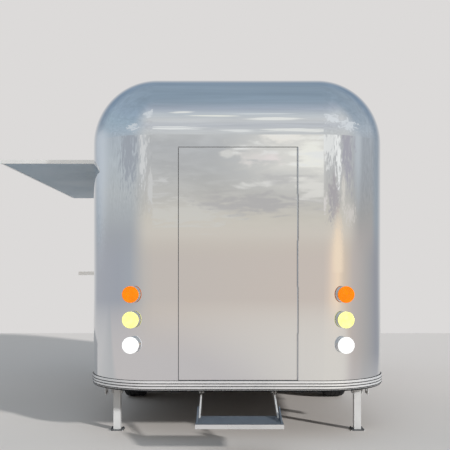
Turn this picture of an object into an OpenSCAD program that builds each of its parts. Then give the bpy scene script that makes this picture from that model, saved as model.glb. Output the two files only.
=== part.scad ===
// Food trailer: a rounded cabin in polished metal on a single axle, with a lift-up serving hatch,
// a fold-down shelf, a rear door, a slide-out step, four fold-up legs and a nose jack.
// Sizes are in millimetres. The pieces are drawn with x to the right, y forward from the cabin's
// rear face and z up from the ground, and are then set with the origin at the mouth of the
// coupling's ball socket.

/* [Cabin] */
// Width of the cabin over its side walls
body_w = 2100; // [2000:10:2300]
// Length of the cabin over its end walls
body_l = 4000; // [3950:10:4600]
// Height of the roof above the ground
roof_z = 2534; // [2510:1:2800]
// Height of the walls' lower edge above the ground
sill_z = 334; // [330:1:350]
// Radius of the upright corners and of the roof's edges
corner_r = 475; // [420:5:490]
// Thickness of the walls, the roof and the door
wall_t = 40; // [32:1:50]
// Thickness of the floor
floor_t = 60; // [40:1:64]

/* [Sill trim] */
// Height of the grooved band round the foot of the walls
trim_h = 70; // [66:1:90]
// How far the band stands out of the wall
trim_t = 8; // [6:1:14]
// Distance from one groove to the next
groove_pitch = 18.5; // [16:0.5:20]
// Width of a groove
groove_w = 4; // [3:0.5:6]
// Depth of a groove
groove_d = 5; // [3:0.5:5.5]

/* [Rear door] */
// Width of the doorway
door_w = 807; // [700:1:860]
// Height of the doorway
door_h = 1571; // [1450:1:1585]
// Height of the doorway's lower edge above the sill trim
door_lift = 2; // [0:1:10]
// Gap round the door, the hatch and other panels that move
panel_gap = 5; // [5:0.5:8]

/* [Serving hatch] */
// Length of the hatch along the wall
hatch_l = 2580; // [2200:10:2700]
// Distance from its hinge to its free edge
hatch_reach = 770; // [700:5:800]
// Thickness of the hatch
hatch_t = 25; // [20:1:32]
// Height of its hinge above the ground
hatch_z = 2000; // [1990:1:2010]

/* [Serving shelf] */
// Length of the shelf along the wall
shelf_l = 1740; // [1400:10:2000]
// Width of the shelf
shelf_w = 250; // [200:5:300]
// Thickness of the shelf
shelf_t = 27; // [20:1:32]
// Height of the shelf's top above the ground
shelf_z = 1137; // [1100:1:1180]

/* [Hinges] */
// Radius of a hinge's knuckles
knuckle_r = 5; // [4.5:0.5:6]
// Radius of a hinge's pin
hinge_pin_r = 2.5; // [2:0.5:3]
// Play between a pin and what turns on it
pin_play = 0.05; // [0.02:0.01:0.08]
// Gap between one knuckle and the next
knuckle_gap = 1; // [0.5:0.5:2]

/* [Lamps] */
// Diameter of a lamp's lens
lamp_d = 112; // [90:1:130]
// Height of the top lamp above the ground
lamp_z = 985; // [900:1:1100]
// Distance from one lamp down to the next
lamp_pitch = 170; // [140:1:180]
// Distance of the lamps from the side of the cabin
lamp_inset = 329; // [300:1:340]
// How far the lenses stand behind the cabin's rear face
lamp_reach = 30; // [20:1:50]
// Thickness of a lens
lens_t = 8; // [6:1:12]

/* [Wheels and axle] */
// Radius of a tyre
wheel_r = 310; // [300:1:325]
// Width of a tyre
tyre_w = 185; // [165:1:205]
// Radius of a tyre's shoulders
shoulder_r = 35; // [20:1:45]
// Radius of a rim where the tyre sits on it
rim_r = 178; // [165:1:190]
// Width of a rim
rim_w = 160; // [140:1:165]
// Distance of the axle from the cabin's rear face
axle_y = 1750; // [1700:5:1850]
// Radius of a stub axle
stub_r = 20; // [16:1:24]
// Radius of a wheel arch
arch_r = 375; // [365:1:395]
// Gap between a tyre and the wall beside it
tyre_gap = 16; // [12:1:25]
// Side of the axle's square beam
beam_side = 60; // [50:1:60]
// Length of a trailing arm
arm_l = 155; // [140:1:180]

/* [Chassis] */
// Height of the chassis rails
rail_h = 60; // [50:1:60]
// Width of a chassis rail
rail_w = 50; // [40:1:60]
// Distance of a rail's middle from the centre line
rail_x = 450; // [420:1:480]
// Distance of the coupling's ball from the cabin's front face
hitch_reach = 1200; // [1100:10:1400]
// Radius of the coupling's ball socket
socket_r = 25.2; // [25.1:0.05:25.4]
// Depth of the ball socket
socket_h = 38; // [30:1:42]
// Thickness of the drawbar's nose plate
nose_plate_t = 10; // [8:1:14]

/* [Nose jack] */
// Radius of the jack's outer tube
jack_r = 30; // [29:0.5:34]
// Radius of the jack's leg
jack_leg_r = 25; // [20:0.5:26]
// Height of the jack's head above the ground
jack_z = 760; // [740:5:850]
// Distance of the jack behind the coupling's ball
jack_back = 370; // [330:5:380]

/* [Legs] */
// Side of a leg's square tube
leg_side = 50; // [40:1:55]
// Side of a leg's foot plate
foot_side = 95; // [80:1:96]
// Height of a leg's pivot above the ground
leg_pivot_z = 280; // [270:1:282]
// Radius of a leg's pivot pin
leg_pin_r = 8; // [6:0.5:10]
// Distance of the legs from the side of the cabin
leg_inset = 186; // [180:1:220]
// Distance of the legs from the end of the cabin
leg_back = 350; // [330:5:400]

/* [Step] */
// Width of the step's tread
step_w = 540; // [500:5:580]
// Depth of the tread
step_d = 255; // [230:5:280]
// Thickness of the tread
step_t = 27; // [24:1:36]
// Height of the tread's top above the ground
step_z = 211; // [200:1:225]
// How far the tread stands out behind the cabin
step_out = 460; // [430:5:480]
// Thickness of the step's side arms
step_arm_t = 10; // [8:1:14]

/* [Lashing plates] */
// Thickness of a lashing plate
lash_t = 8; // [6:1:12]
// How far a lashing plate hangs below the floor
lash_drop = 110; // [100:1:130]
// Radius of the eye in a lashing plate
lash_eye_r = 15; // [12:0.5:20]

/* [Counters] */
// Depth of the counters inside the cabin
counter_d = 500; // [420:5:560]
// Length of the counters
counter_l = 2600; // [2300:10:2640]
// Height of the counters' tops above the floor
counter_h = 780; // [700:5:790]
// Thickness of the counters' tops
counter_t = 40; // [30:1:50]

/* [Hidden] */
$fn = 64;
// Room left between pieces that sit side by side with curved faces
seat_gap = 0.3;
// How far a cutter runs past the face that it cuts
past = 20;

// Least flat wall left beside the doorway and the serving opening
jamb_w = 60;
half_w = body_w / 2;
// Radius of the cabin's edges, limited by the flat walls that the door and the hatch need
edge_r = min(
    corner_r,
    (body_w - door_w) / 2 - jamb_w,
    (body_l - hatch_l) / 2 - jamb_w,
    roof_z - hatch_z - panel_gap
);
flat_w = body_w - 2 * edge_r;
flat_l = body_l - 2 * edge_r;
eave_z = roof_z - edge_r;
inner_x = half_w - wall_t;
floor_z = sill_z;
floor_top = floor_z + floor_t;
trim_top = sill_z + trim_h;
trim_bevel = 5;
mid_y = body_l / 2;

door_z = trim_top + door_lift;
door_hinge_x = (door_w - panel_gap) / 2;
door_leaf_w = door_w - 2 * panel_gap;
door_leaf_h = door_h - 2 * panel_gap;
hatch_y = mid_y - hatch_l / 2;
shelf_y = mid_y - shelf_l / 2;
shelf_hinge_x = half_w + knuckle_r + knuckle_gap;
knuckle_web = 2 * knuckle_r;
knuckle_play = 1.5;
web_cut = 1;
knuckle_relief = knuckle_r + knuckle_play;
door_knuckles = 5;
hatch_knuckles = 7;
shelf_knuckles = 5;

lamp_x = half_w - lamp_inset;
lamp_rows = [0, 1, 2];
lamp_rim = 2;
lens_bevel = 3;
lamp_depth = 120;

wheel_x = inner_x - tyre_gap - tyre_w / 2;
housing_t = 4;
housing_x = wheel_x - tyre_w / 2 - tyre_gap;
rim_t = 8;
hub_r = 60;
hub_l = 100;
rim_disc_t = 10;
rim_dish = 45;
rim_holes = 10;
rim_hole_r = 16;
rim_hole_pitch_r = 122;
arm_t = 40;
arm_w = 36;
boss_r = 22.5;
arm_gap = 6;
beam_z = floor_z - rail_h - beam_side / 2;
arm_x = wheel_x - tyre_w / 2 - arm_gap - arm_t;
stub_l = tyre_w / 2 + arm_gap + hub_l / 2;
beam_y = axle_y + sqrt(pow(arm_l, 2) - pow(wheel_r - beam_z, 2));

rail_z = floor_z - rail_h;
rail_y0 = 300;
rail_front = 320;
rail_y1 = body_l - rail_front;
bar_w = 50;
bar_back = 320;
bar_front = 1000;
rear_bar_y = 1050;
bar_y = [rear_bar_y, axle_y + arch_r + bar_back, body_l - bar_front];
outrigger_h = 40;
hitch_y = body_l + hitch_reach;
nose_back = 140;
nose_y = hitch_y - nose_back;
nose_half_gap = 13;
nose_x = rail_w / 2 + nose_half_gap;
plate_back = 420;
plate_front = 100;
plate_y0 = hitch_y - plate_back;
plate_y1 = hitch_y - plate_front;
nose_z = floor_z + nose_plate_t;
socket_wall = 13;
socket_roof = 17;
coupler_r = socket_r + socket_wall;
coupler_h = socket_h + socket_roof;
coupler_l = 240;
head_round = 14;
neck_w = 60;
neck_back_h = 24;
neck_flat = 130;
lever_l = 150;
lever_w = 24;
lever_t = 10;

jack_y = hitch_y - jack_back;
jack_cap = 20;
jack_travel_room = 260;
jack_bore_top = jack_z - jack_cap;
jack_leg_top = jack_bore_top - jack_travel_room;
jack_foot_r = 70;
jack_foot_t = 12;
jack_cone = 20;
jack_cone_h = 30;
collar_rim = 15;
collar_h = 12;
head_rim = 8;
head_h = 50;
crank_r = 7;
crank_l = 180;
crank_rise = 40;
crank_grip = 90;

foot_t = 6;
leg_gap = 5;
cheek_t = 6;
cheek_lip = 10;
bracket_t = 6;
bracket_l = 100;
cheek_half = 28;
leg_x = half_w - leg_inset;

step_arm_inset = 15;
step_arm_x = step_w / 2 - step_arm_inset - step_arm_t / 2;
step_arm_w = 60;
nosing_t = 3;
nosing_d = 22;
tread_groove_w = 8;
tread_groove_d = 2;
tread_edge = 40;
tread_front = 30;
runner_w = 34;
runner_h = 18;
runner_l = 380;
runner_y = 120;
runner_drop = 32;
runner_z = floor_z - runner_drop;
guide_t = 4;
guide_gap = 0.3;
guide_slot_play = 10;
guide_slot = step_arm_t + guide_slot_play;
guide_l = 620;
arm_back = 62;
side_h = 63;
side_gap = 1;
side_t = 8;
side_top = 14;
tread_groove_pitch = 25;
step_arm_y = step_d - step_out - arm_back;

lash_l = 100;
lash_y = 500;
lash_inset = 30;
lash_eye_edge = 18;
lash_x = inner_x - lash_inset - lash_t;

panel_t = 20;
counter_back = 5;
counter_clear = 100;
counter_y = mid_y - counter_l / 2;
counter_z = floor_top + counter_h;

// Left and right, as the sign of x
SIDES = [-1, 1];
// Corners of the cabin: node, sign of x, sign of y, first angle of the quarter turn
CORNERS = [
    ["corner_rear_left", -1, -1, 180],
    ["corner_rear_right", 1, -1, 270],
    ["corner_front_left", -1, 1, 90],
    ["corner_front_right", 1, 1, 0]
];
// Legs: node, sign of x, sign of y
LEGS = [
    ["leg_rear_left", -1, -1],
    ["leg_rear_right", 1, -1],
    ["leg_front_left", -1, 1],
    ["leg_front_right", 1, 1]
];

skin = "gainsboro";
steel = "dimgray";
pale = "lightgray";
dark = "#202225";

// Moves the pieces from the ground frame to the coupling's frame
module from_ground() {
    translate([0, -hitch_y, -nose_z]) children();
}

// Section of wall and roof edge: x runs out from the centre of the corner, y runs up
module wall_section() {
    translate([edge_r - wall_t, sill_z]) square([wall_t, eave_z - sill_z]);
    translate([0, eave_z]) intersection() {
        difference() {
            circle(r = edge_r);
            circle(r = edge_r - wall_t);
        }
        square(edge_r);
    }
}

// Section of the grooved band at the foot of the wall
module trim_section() {
    difference() {
        translate([edge_r, sill_z]) polygon([
            [0, 0], [trim_t - trim_bevel, 0], [trim_t, 2 * trim_bevel], [trim_t, trim_h], [0, trim_h]
        ]);
        for (i = [1 : 3])
            translate([edge_r + trim_t - groove_d, trim_top - i * groove_pitch - groove_w / 2])
                square([groove_d + past, groove_w]);
    }
}

// A straight run of a section on the side that faces the angle, at a distance from the middle
module straight_run(angle, reach, run) {
    translate([0, mid_y, 0]) rotate(angle) translate([reach - edge_r, 0, 0])
        rotate([90, 0, 0]) linear_extrude(run, center = true) children();
}

// A quarter turn of a section round one corner
module quarter_turn(c) {
    translate([c[1] * (half_w - edge_r), mid_y + c[2] * (mid_y - edge_r), 0])
        rotate(c[3]) rotate_extrude(angle = 90) children();
}

// A round bar along x
module cross_bar(r, x0, x1) {
    translate([x0, 0, 0]) rotate([0, 90, 0]) cylinder(r = r, h = x1 - x0);
}

// Cutter for the wheel arch of one side wall
module arch_cut(side) {
    translate([side * half_w, axle_y, wheel_r])
        cross_bar(arch_r, -wall_t - past, wall_t + past);
}

// Every second knuckle of a hinge along z, with webs that reach to the leaf on one side
module knuckles(length, count, first, toward) {
    pitch = length / count;
    for (i = [first : 2 : count - 1])
        translate([0, 0, i * pitch + knuckle_gap / 2])
            difference() {
                union() {
                    cylinder(r = knuckle_r, h = pitch - knuckle_gap);
                    translate([toward > 0 ? 0 : -knuckle_web, 0, 0])
                        cube([knuckle_web, knuckle_r - web_cut, pitch - knuckle_gap]);
                }
                translate([0, 0, -past])
                    cylinder(r = hinge_pin_r + pin_play, h = pitch + 2 * past);
            }
}

// Room cut in a leaf's edge for the other leaf's knuckles
module knuckle_room(length) {
    cylinder(r = knuckle_relief, h = length);
}

// Places of the three hinges: the axis runs along z, the moving leaf lies toward -x,
// and y runs into the leaf
module door_hinge() {
    translate([door_hinge_x, 0, door_z + panel_gap]) children();
}

module hatch_hinge(turn) {
    translate([-half_w, hatch_y, hatch_z]) rotate([-90, turn, 0]) children();
}

module shelf_hinge() {
    translate([-shelf_hinge_x, shelf_y + shelf_l, shelf_z - shelf_t]) rotate([90, 0, 0]) children();
}

module rear_wall() {
    color(skin) {
        difference() {
            straight_run(270, mid_y, flat_w) wall_section();
            translate([-door_w / 2, -past, door_z]) cube([door_w, wall_t + 2 * past, door_h]);
            door_hinge() knuckle_room(door_leaf_h);
        }
        door_hinge() knuckles(door_leaf_h, door_knuckles, 0, 1);
    }
}

module front_wall() {
    color(skin) straight_run(90, mid_y, flat_w) wall_section();
}

module left_wall() {
    color(skin) {
        difference() {
            straight_run(180, half_w, flat_l) wall_section();
            arch_cut(-1);
            translate([-half_w - past, hatch_y - panel_gap, hatch_z - hatch_reach - 1.5 * panel_gap])
                cube([wall_t + 2 * past, hatch_l + 2 * panel_gap, hatch_reach + 2 * panel_gap]);
            hatch_hinge(-90) knuckle_room(hatch_l);
        }
        hatch_hinge(-90) knuckles(hatch_l, hatch_knuckles, 0, 1);
        shelf_hinge() knuckles(shelf_l, shelf_knuckles, 0, 1);
    }
}

module right_wall() {
    color(skin) difference() {
        straight_run(0, half_w, flat_l) wall_section();
        arch_cut(1);
    }
}

module corner_panel(c) {
    color(skin) quarter_turn(c) wall_section();
}

module roof_panel() {
    color(skin) translate([-flat_w / 2, edge_r, roof_z - wall_t]) cube([flat_w, flat_l, wall_t]);
}

// Outline of the floor, with the corners' inner radius
module floor_outline() {
    r = edge_r - wall_t - seat_gap;
    w = body_w - 2 * wall_t;
    l = body_l - 2 * wall_t;
    square([w, flat_l], center = true);
    square([flat_w, l], center = true);
    for (c = CORNERS)
        translate([c[1] * flat_w / 2, c[2] * flat_l / 2]) circle(r = r);
}

module floor_panel() {
    color("#8a8d90") difference() {
        translate([0, mid_y, floor_z]) linear_extrude(floor_t) floor_outline();
        for (side = SIDES)
            translate([side > 0 ? housing_x - housing_t : -half_w, axle_y, wheel_r])
                cross_bar(arch_r + housing_t + seat_gap, 0, half_w - housing_x + housing_t);
    }
}

module sill_trim() {
    color(pale) difference() {
        union() {
            straight_run(0, half_w, flat_l) trim_section();
            straight_run(90, mid_y, flat_w) trim_section();
            straight_run(180, half_w, flat_l) trim_section();
            straight_run(270, mid_y, flat_w) trim_section();
            for (c = CORNERS)
                quarter_turn(c) trim_section();
        }
        for (side = SIDES)
            arch_cut(side);
    }
}

// Half drum over a wheel, closed at its inner end
module wheel_housing(side) {
    run = inner_x - housing_x;
    color(dark) difference() {
        translate([side * housing_x, axle_y, wheel_r]) mirror([side > 0 ? 0 : 1, 0, 0])
            difference() {
                cross_bar(arch_r + housing_t, -housing_t, run);
                cross_bar(arch_r, 0, run + past);
            }
        translate([-half_w, axle_y - 2 * arch_r, floor_z - 2 * arch_r])
            cube([body_w, 4 * arch_r, 2 * arch_r]);
    }
}

module rail(side) {
    color(steel) translate([side * rail_x - rail_w / 2, rail_y0, rail_z])
        cube([rail_w, rail_y1 - rail_y0, rail_h]);
}

// Bars between the rails, and outriggers from the rails to the walls
module cross_members() {
    inner = rail_x - rail_w / 2;
    outer = rail_x + rail_w / 2;
    color(steel) for (y = bar_y) {
        translate([-inner, y - bar_w / 2, rail_z]) cube([2 * inner, bar_w, rail_h]);
        for (side = SIDES)
            translate([side > 0 ? outer : -inner_x, y - bar_w / 2, floor_z - outrigger_h])
                cube([inner_x - outer, bar_w, outrigger_h]);
    }
}

// One beam of the drawbar, from the end of its rail to the nose
module drawbar_beam(side) {
    half = rail_w / 2;
    color(steel) translate([0, 0, rail_z]) linear_extrude(rail_h)
        polygon([
            [side * (rail_x - half), rail_y1], [side * (rail_x + half), rail_y1],
            [side * (nose_x + half), nose_y], [side * (nose_x - half), nose_y]
        ]);
}

// Half width of the drawbar over its beams at a distance along y
function drawbar_half(y) = rail_w / 2 + rail_x + (nose_x - rail_x) * (y - rail_y1) / (nose_y - rail_y1);

// Half section of the coupling's head, with a rounded crown
module coupler_head() {
    flat_r = coupler_r - head_round;
    square([flat_r, coupler_h]);
    square([coupler_r, coupler_h - head_round]);
    translate([flat_r, coupler_h - head_round]) intersection() {
        circle(r = head_round);
        square(head_round);
    }
}

// Nose plate with the coupling head, its ball socket and its hand lever
module coupler() {
    w0 = drawbar_half(plate_y0);
    w1 = drawbar_half(plate_y1);
    color(steel) difference() {
        union() {
            translate([0, 0, floor_z]) linear_extrude(nose_plate_t)
                polygon([[-w0, plate_y0], [w0, plate_y0], [w1, plate_y1], [-w1, plate_y1]]);
            translate([-neck_w / 2, hitch_y - coupler_l, nose_z]) rotate([90, 0, 90]) linear_extrude(neck_w)
                polygon([
                    [0, 0], [coupler_l, 0], [coupler_l, coupler_h], [coupler_l - neck_flat, coupler_h],
                    [0, neck_back_h]
                ]);
            translate([0, hitch_y, nose_z]) rotate_extrude() coupler_head();
            translate([-lever_w / 2, hitch_y - coupler_l / 2, nose_z + coupler_h])
                rotate([15, 0, 0]) translate([0, -lever_l, -lever_t])
                    cube([lever_w, lever_l + lever_t, 2 * lever_t]);
        }
        translate([0, hitch_y, nose_z - past]) cylinder(r = socket_r, h = socket_h + past);
        translate([0, jack_y, floor_z - past]) cylinder(r = jack_r + seat_gap, h = nose_plate_t + 2 * past);
    }
}

// Fixed tube of the jack, with its collar, geared head and crank
module jack_tube() {
    crank_z = jack_z + crank_rise - crank_r;
    color(steel) translate([0, jack_y, 0]) {
        difference() {
            union() {
                translate([0, 0, rail_z]) cylinder(r = jack_r, h = jack_z - rail_z);
                translate([0, 0, nose_z]) cylinder(r = jack_r + collar_rim, h = collar_h);
                translate([0, 0, jack_z - head_h]) cylinder(r = jack_r + head_rim, h = head_h);
            }
            translate([0, 0, rail_z - past])
                cylinder(r = jack_leg_r + pin_play, h = jack_bore_top - rail_z + past);
        }
        translate([0, 0, jack_z]) cylinder(r = crank_r, h = crank_rise);
        translate([0, 0, crank_z]) cross_bar(crank_r, -crank_r, crank_l);
        translate([crank_l - crank_r, 0, crank_z]) cylinder(r = crank_r, h = crank_grip);
    }
}

module jack_leg() {
    color(pale) translate([0, jack_y, 0]) {
        cylinder(r = jack_leg_r, h = jack_leg_top);
        cylinder(r = jack_foot_r, h = jack_foot_t);
        translate([0, 0, jack_foot_t])
            cylinder(r1 = jack_leg_r + jack_cone, r2 = jack_leg_r, h = jack_cone_h);
    }
}

// Square beam under the rails, with trailing arms and the stub axles that carry the wheels
module axle() {
    color(steel) for (side = SIDES)
        mirror([side > 0 ? 0 : 1, 0, 0]) {
            translate([0, beam_y - beam_side / 2, beam_z - beam_side / 2])
                cube([arm_x + arm_t / 2, beam_side, beam_side]);
            translate([arm_x, axle_y, wheel_r]) {
                cross_bar(boss_r, 0, arm_t);
                rotate([atan2(beam_z - wheel_r, beam_y - axle_y), 0, 0])
                    translate([0, 0, -arm_w / 2]) cube([arm_t, arm_l, arm_w]);
                cross_bar(stub_r, 0, arm_t + stub_l);
            }
            translate([arm_x, beam_y, beam_z]) cross_bar(boss_r, 0, arm_t);
        }
}

// Tyre with rounded shoulders, its own axis along x
module tyre(side) {
    half = tyre_w / 2;
    color(dark) translate([side * wheel_x, axle_y, wheel_r]) rotate([0, 90, 0]) rotate_extrude() {
        translate([rim_r, -half]) square([wheel_r - shoulder_r - rim_r, tyre_w]);
        translate([rim_r, -half + shoulder_r]) square([wheel_r - rim_r, tyre_w - 2 * shoulder_r]);
        for (end = SIDES)
            translate([wheel_r - shoulder_r, end * (half - shoulder_r)]) circle(r = shoulder_r);
    }
}

// Steel rim: barrel, pierced disc and hub, bored for the stub axle
module rim(side) {
    disc_z = rim_w / 2 - rim_dish;
    color(pale) translate([side * wheel_x, axle_y, wheel_r]) mirror([side > 0 ? 0 : 1, 0, 0])
        rotate([0, 90, 0]) difference() {
            union() {
                difference() {
                    cylinder(r = rim_r, h = rim_w, center = true);
                    cylinder(r = rim_r - rim_t, h = rim_w + past, center = true);
                }
                translate([0, 0, disc_z]) cylinder(r = rim_r - rim_t / 2, h = rim_disc_t);
                cylinder(r = hub_r, h = hub_l, center = true);
            }
            cylinder(r = stub_r + pin_play, h = hub_l + past, center = true);
            for (i = [0 : rim_holes - 1])
                rotate(i * 360 / rim_holes) translate([rim_hole_pitch_r, 0, disc_z - past])
                    cylinder(r = rim_hole_r, h = rim_disc_t + 2 * past);
        }
}

module rear_door() {
    color(skin) {
        difference() {
            translate([-door_w / 2 + panel_gap, 0, door_z + panel_gap])
                cube([door_leaf_w, wall_t, door_leaf_h]);
            door_hinge() knuckle_room(door_leaf_h);
        }
        door_hinge() knuckles(door_leaf_h, door_knuckles, 1, -1);
    }
}

// Drawn as it stands open, level with its hinge
module serving_hatch() {
    color("#9fb0bf") {
        difference() {
            hatch_hinge(0) translate([-panel_gap / 2 - hatch_reach, 0, 0])
                cube([hatch_reach, hatch_t, hatch_l]);
            hatch_hinge(0) knuckle_room(hatch_l);
        }
        hatch_hinge(0) knuckles(hatch_l, hatch_knuckles, 1, -1);
    }
}

module serving_shelf() {
    color(pale) {
        difference() {
            shelf_hinge() translate([-shelf_w, 0, 0]) cube([shelf_w, shelf_t, shelf_l]);
            shelf_hinge() knuckle_room(shelf_l);
        }
        shelf_hinge() knuckles(shelf_l, shelf_knuckles, 1, -1);
    }
}

module hinge_pins() {
    color(steel) {
        door_hinge() cylinder(r = hinge_pin_r, h = door_leaf_h);
        hatch_hinge(0) cylinder(r = hinge_pin_r, h = hatch_l);
        shelf_hinge() cylinder(r = hinge_pin_r, h = shelf_l);
    }
}

// Channels under the floor that hold the step's runners, slotted below for its arms
module step_guides() {
    inner = runner_w + 2 * guide_gap;
    outer = inner + 2 * guide_t;
    color(steel) for (side = SIDES)
        translate([side * step_arm_x - outer / 2, runner_y, runner_z - guide_gap - guide_t])
            difference() {
                cube([outer, guide_l, floor_z - runner_z + guide_gap + guide_t]);
                translate([guide_t, -past, guide_t])
                    cube([inner, guide_l + 2 * past, runner_h + 2 * guide_gap]);
                translate([(outer - guide_slot) / 2, -past, -past])
                    cube([guide_slot, guide_l + 2 * past, guide_t + 2 * past]);
            }
}

// Outline of a side arm from the tread's top up to its runner, y along the trailer and z up
module step_arm_outline() {
    rise = runner_z - step_z;
    run = runner_y - step_arm_y;
    polygon([
        [0, 0], [step_arm_w, 0], [run + step_arm_w, rise],
        [run + step_arm_w, rise + runner_h], [run, rise + runner_h]
    ]);
}

// Tread with grooves across its top and a raised cheek along each side
module step() {
    tread_y = -step_out + nosing_t;
    cheek_x = step_arm_x + step_arm_t / 2 + side_gap;
    cheek_y0 = nosing_d - step_out;
    cheek_y1 = step_arm_y + step_arm_w;
    grooves = floor((step_d - 2 * tread_front) / tread_groove_pitch);
    color("#5a6673") {
        difference() {
            translate([-step_w / 2, tread_y, step_z - step_t]) cube([step_w, step_d - nosing_t, step_t]);
            for (i = [0 : grooves])
                translate([-step_w / 2 + tread_edge, tread_y + tread_front + i * tread_groove_pitch,
                    step_z - tread_groove_d]) cube([step_w - 2 * tread_edge, tread_groove_w, past]);
            translate([-step_w, tread_y - past, step_z - nosing_t])
                cube([2 * step_w, nosing_d - nosing_t + past, past]);
        }
        for (side = SIDES)
            translate([side > 0 ? cheek_x : -cheek_x - side_t, 0, step_z - step_t / 2])
                rotate([90, 0, 90]) linear_extrude(side_t)
                    polygon([
                        [cheek_y0, 0], [cheek_y1, 0], [cheek_y1, step_t / 2 + side_h],
                        [cheek_y1 - side_top, step_t / 2 + side_h], [cheek_y0, step_t / 2]
                    ]);
    }
}

// Side arms that hang the tread from two runners
module step_arms() {
    color(pale) for (side = SIDES)
        translate([side * step_arm_x, 0, 0]) {
            translate([-step_arm_t / 2, step_arm_y, step_z])
                rotate([90, 0, 90]) linear_extrude(step_arm_t) step_arm_outline();
            translate([-runner_w / 2, runner_y, runner_z]) cube([runner_w, runner_l, runner_h]);
        }
}

// Angle strip over the front edge of the tread
module step_nosing() {
    color(pale) translate([-step_w / 2, -step_out, step_z]) {
        translate([0, 0, -step_t]) cube([step_w, nosing_t, step_t]);
        translate([0, 0, -nosing_t]) cube([step_w, nosing_d, nosing_t]);
    }
}

// Square tube with a foot plate, bored for its pivot
module leg(l) {
    y = mid_y + l[2] * (mid_y - leg_back);
    color(pale) translate([l[1] * leg_x, y, 0]) difference() {
        union() {
            translate([-leg_side / 2, -leg_side / 2, foot_t])
                cube([leg_side, leg_side, leg_pivot_z + leg_side / 2 - foot_t]);
            translate([-foot_side / 2, -foot_side / 2, 0]) cube([foot_side, foot_side, foot_t]);
        }
        translate([0, 0, leg_pivot_z]) cross_bar(leg_pin_r + pin_play, -leg_side, leg_side);
    }
}

// Brackets under the floor, each with two cheeks and the pin that a leg folds on
module leg_brackets() {
    cheek_x = leg_side / 2 + leg_gap;
    half = cheek_x + cheek_t;
    color(steel) for (l = LEGS)
        translate([l[1] * leg_x, mid_y + l[2] * (mid_y - leg_back), 0]) {
            translate([-half, -bracket_l / 2, floor_z - bracket_t])
                cube([2 * half, bracket_l, bracket_t]);
            for (side = SIDES)
                translate([side > 0 ? cheek_x : -half, -cheek_half, leg_pivot_z - leg_pin_r - cheek_lip])
                    cube([cheek_t, 2 * cheek_half, floor_z - leg_pivot_z + leg_pin_r + cheek_lip]);
            translate([0, 0, leg_pivot_z]) cross_bar(leg_pin_r, -half, half);
        }
}

// Plates with an eye that hang from the edge of the floor
module lashing_plates() {
    eye_z = floor_z - lash_drop + lash_eye_r + lash_eye_edge;
    color(pale) for (l = LEGS)
        translate([l[1] > 0 ? lash_x : -lash_x - lash_t, mid_y + l[2] * (mid_y - lash_y - lash_l / 2), 0])
            difference() {
                translate([0, -lash_l / 2, floor_z - lash_drop]) cube([lash_t, lash_l, lash_drop]);
                translate([0, 0, eye_z]) cross_bar(lash_eye_r, -past, lash_t + past);
            }
}

// Places of the lamps of some rows, on both rear corners
module lamps_at(rows) {
    for (side = SIDES, row = rows)
        translate([side * lamp_x, -lamp_reach, lamp_z - row * lamp_pitch]) rotate([-90, 0, 0]) children();
}

// Outline of the cabin, with its corners' outer radius and some room round it
module cabin_outline(room) {
    square([body_w + 2 * room, flat_l], center = true);
    square([flat_w, body_l + 2 * room], center = true);
    for (c = CORNERS)
        translate([c[1] * flat_w / 2, c[2] * flat_l / 2]) circle(r = edge_r + room);
}

// Round housings, cut to sit on the curve of the corners
module lamp_housings() {
    color(steel) difference() {
        lamps_at(lamp_rows) translate([0, 0, lens_t])
            cylinder(r = lamp_d / 2 - lamp_rim, h = lamp_reach + lamp_depth);
        translate([0, mid_y, sill_z]) linear_extrude(eave_z - sill_z) cabin_outline(seat_gap);
    }
}

// Lens of a lamp, with a bevelled edge
module lens(hue, row) {
    color(hue) lamps_at([row]) {
        translate([0, 0, lens_bevel]) cylinder(r = lamp_d / 2, h = lens_t - lens_bevel);
        cylinder(r1 = lamp_d / 2 - lens_bevel, r2 = lamp_d / 2, h = lens_bevel);
    }
}

// Worktop along one side wall, on three upright panels
module counter(side) {
    x0 = side > 0 ? inner_x - counter_back - counter_d : -inner_x + counter_back;
    clear_y = axle_y + arch_r + counter_clear;
    color(pale) {
        translate([x0, counter_y, counter_z - counter_t]) cube([counter_d, counter_l, counter_t]);
        for (y = [counter_y, clear_y, counter_y + counter_l - panel_t])
            translate([x0, y, floor_top]) cube([counter_d, panel_t, counter_h - counter_t]);
    }
}

from_ground() rear_wall();
from_ground() front_wall();
from_ground() left_wall();
from_ground() right_wall();
from_ground() corner_panel(CORNERS[0]);  // corner_rear_left
from_ground() corner_panel(CORNERS[1]);  // corner_rear_right
from_ground() corner_panel(CORNERS[2]);  // corner_front_left
from_ground() corner_panel(CORNERS[3]);  // corner_front_right
from_ground() roof_panel();
from_ground() floor_panel();
from_ground() sill_trim();
from_ground() wheel_housing(-1);  // wheel_housing_left
from_ground() wheel_housing(1);  // wheel_housing_right
from_ground() rail(-1);  // left_rail
from_ground() rail(1);  // right_rail
from_ground() cross_members();
from_ground() drawbar_beam(-1);  // drawbar_left
from_ground() drawbar_beam(1);  // drawbar_right
from_ground() coupler();
from_ground() jack_tube();
from_ground() jack_leg();
from_ground() axle();
from_ground() rim(-1);  // left_rim
from_ground() tyre(-1);  // left_tyre
from_ground() rim(1);  // right_rim
from_ground() tyre(1);  // right_tyre
from_ground() rear_door();
from_ground() serving_hatch();
from_ground() serving_shelf();
from_ground() hinge_pins();
from_ground() step_guides();
from_ground() step();
from_ground() step_nosing();
from_ground() step_arms();
from_ground() leg(LEGS[0]);  // leg_rear_left
from_ground() leg(LEGS[1]);  // leg_rear_right
from_ground() leg(LEGS[2]);  // leg_front_left
from_ground() leg(LEGS[3]);  // leg_front_right
from_ground() leg_brackets();
from_ground() lashing_plates();
from_ground() lamp_housings();
from_ground() lens("darkorange", 0);  // orange_lenses
from_ground() lens("khaki", 1);  // yellow_lenses
from_ground() lens("white", 2);  // white_lenses
from_ground() counter(-1);  // serving_counter
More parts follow.
